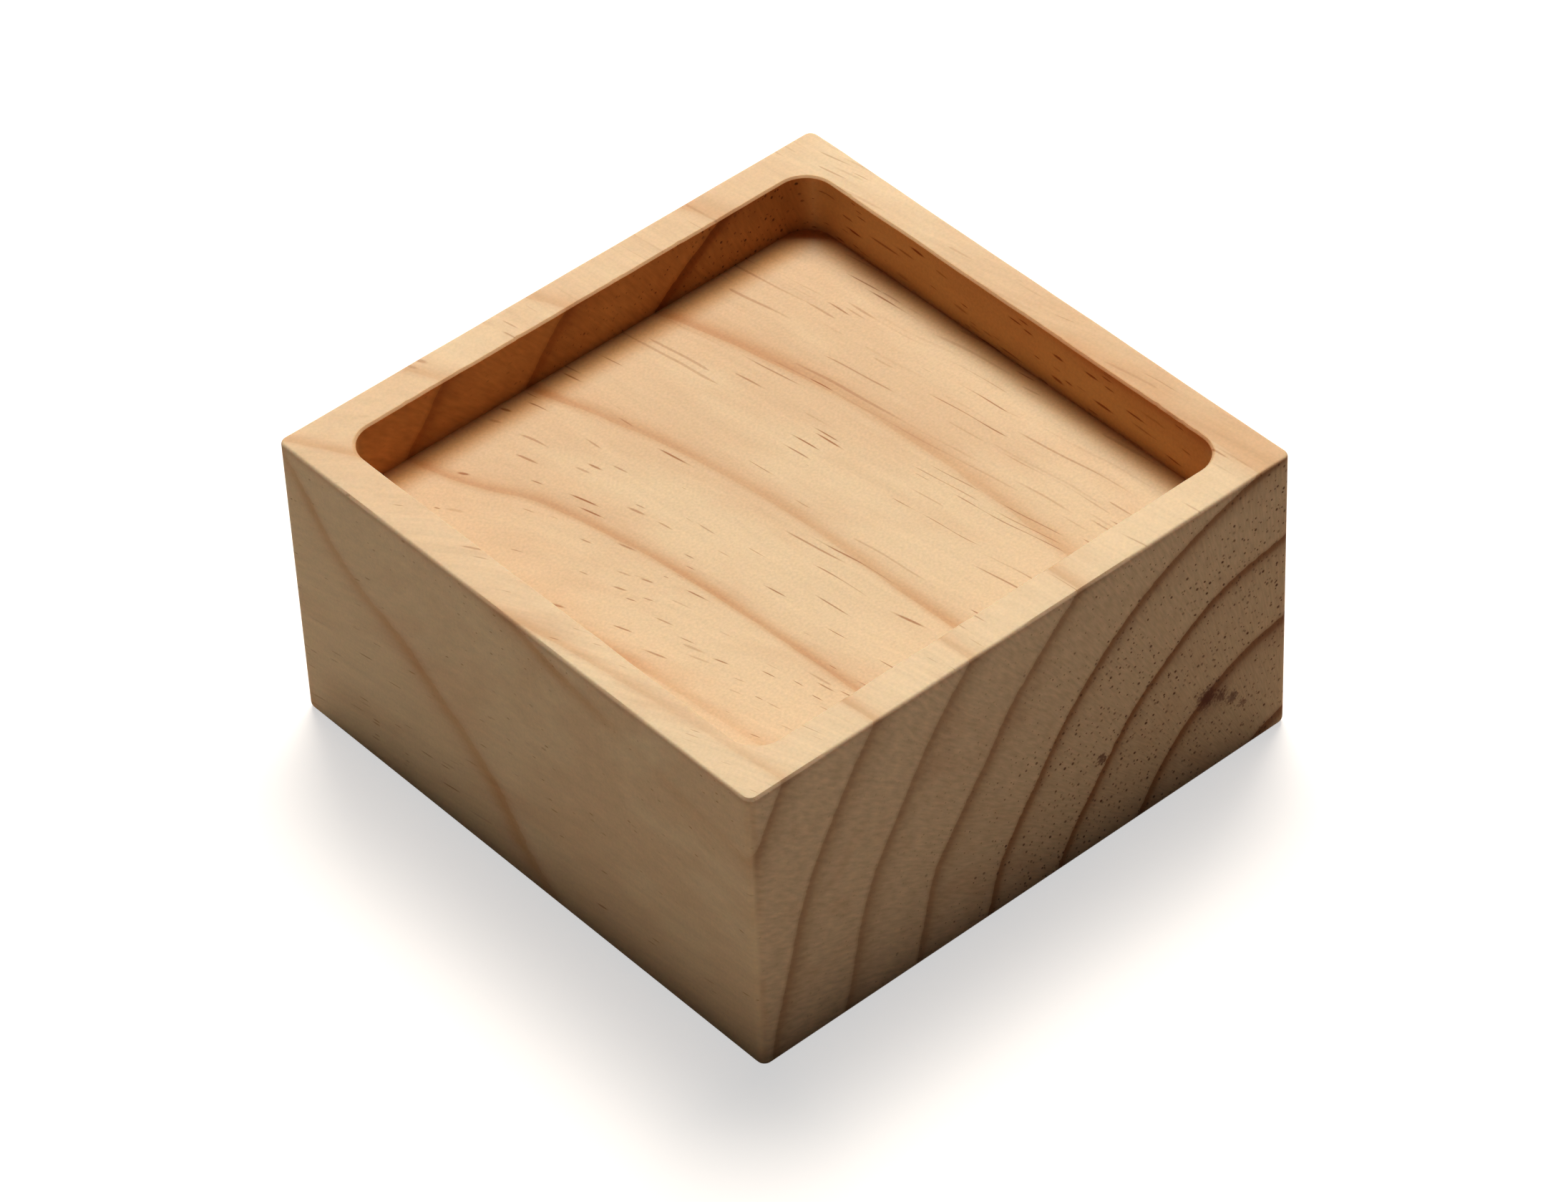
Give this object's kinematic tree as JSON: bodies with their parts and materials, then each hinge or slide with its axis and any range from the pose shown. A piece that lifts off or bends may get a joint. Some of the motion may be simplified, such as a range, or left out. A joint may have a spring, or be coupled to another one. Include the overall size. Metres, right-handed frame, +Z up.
{
  "type": "bed riser",
  "caption": "Square solid pine bed riser with a shallow square recess in its top that holds the foot of a bed or furniture leg.",
  "frame": {"origin": "centre of the underside, on the floor", "axes": "+Z up, through the middle of the recess; +Y along the grain, so the end grain shows on the two Y sides; +X across the grain"},
  "size_m": [0.1, 0.1, 0.051],
  "materials": {
    "pine": "satin clear coat over planed and sanded pine"
  },
  "bodies": {
    "root": {"riser_block": "pine"}
  },
  "joints": []
}
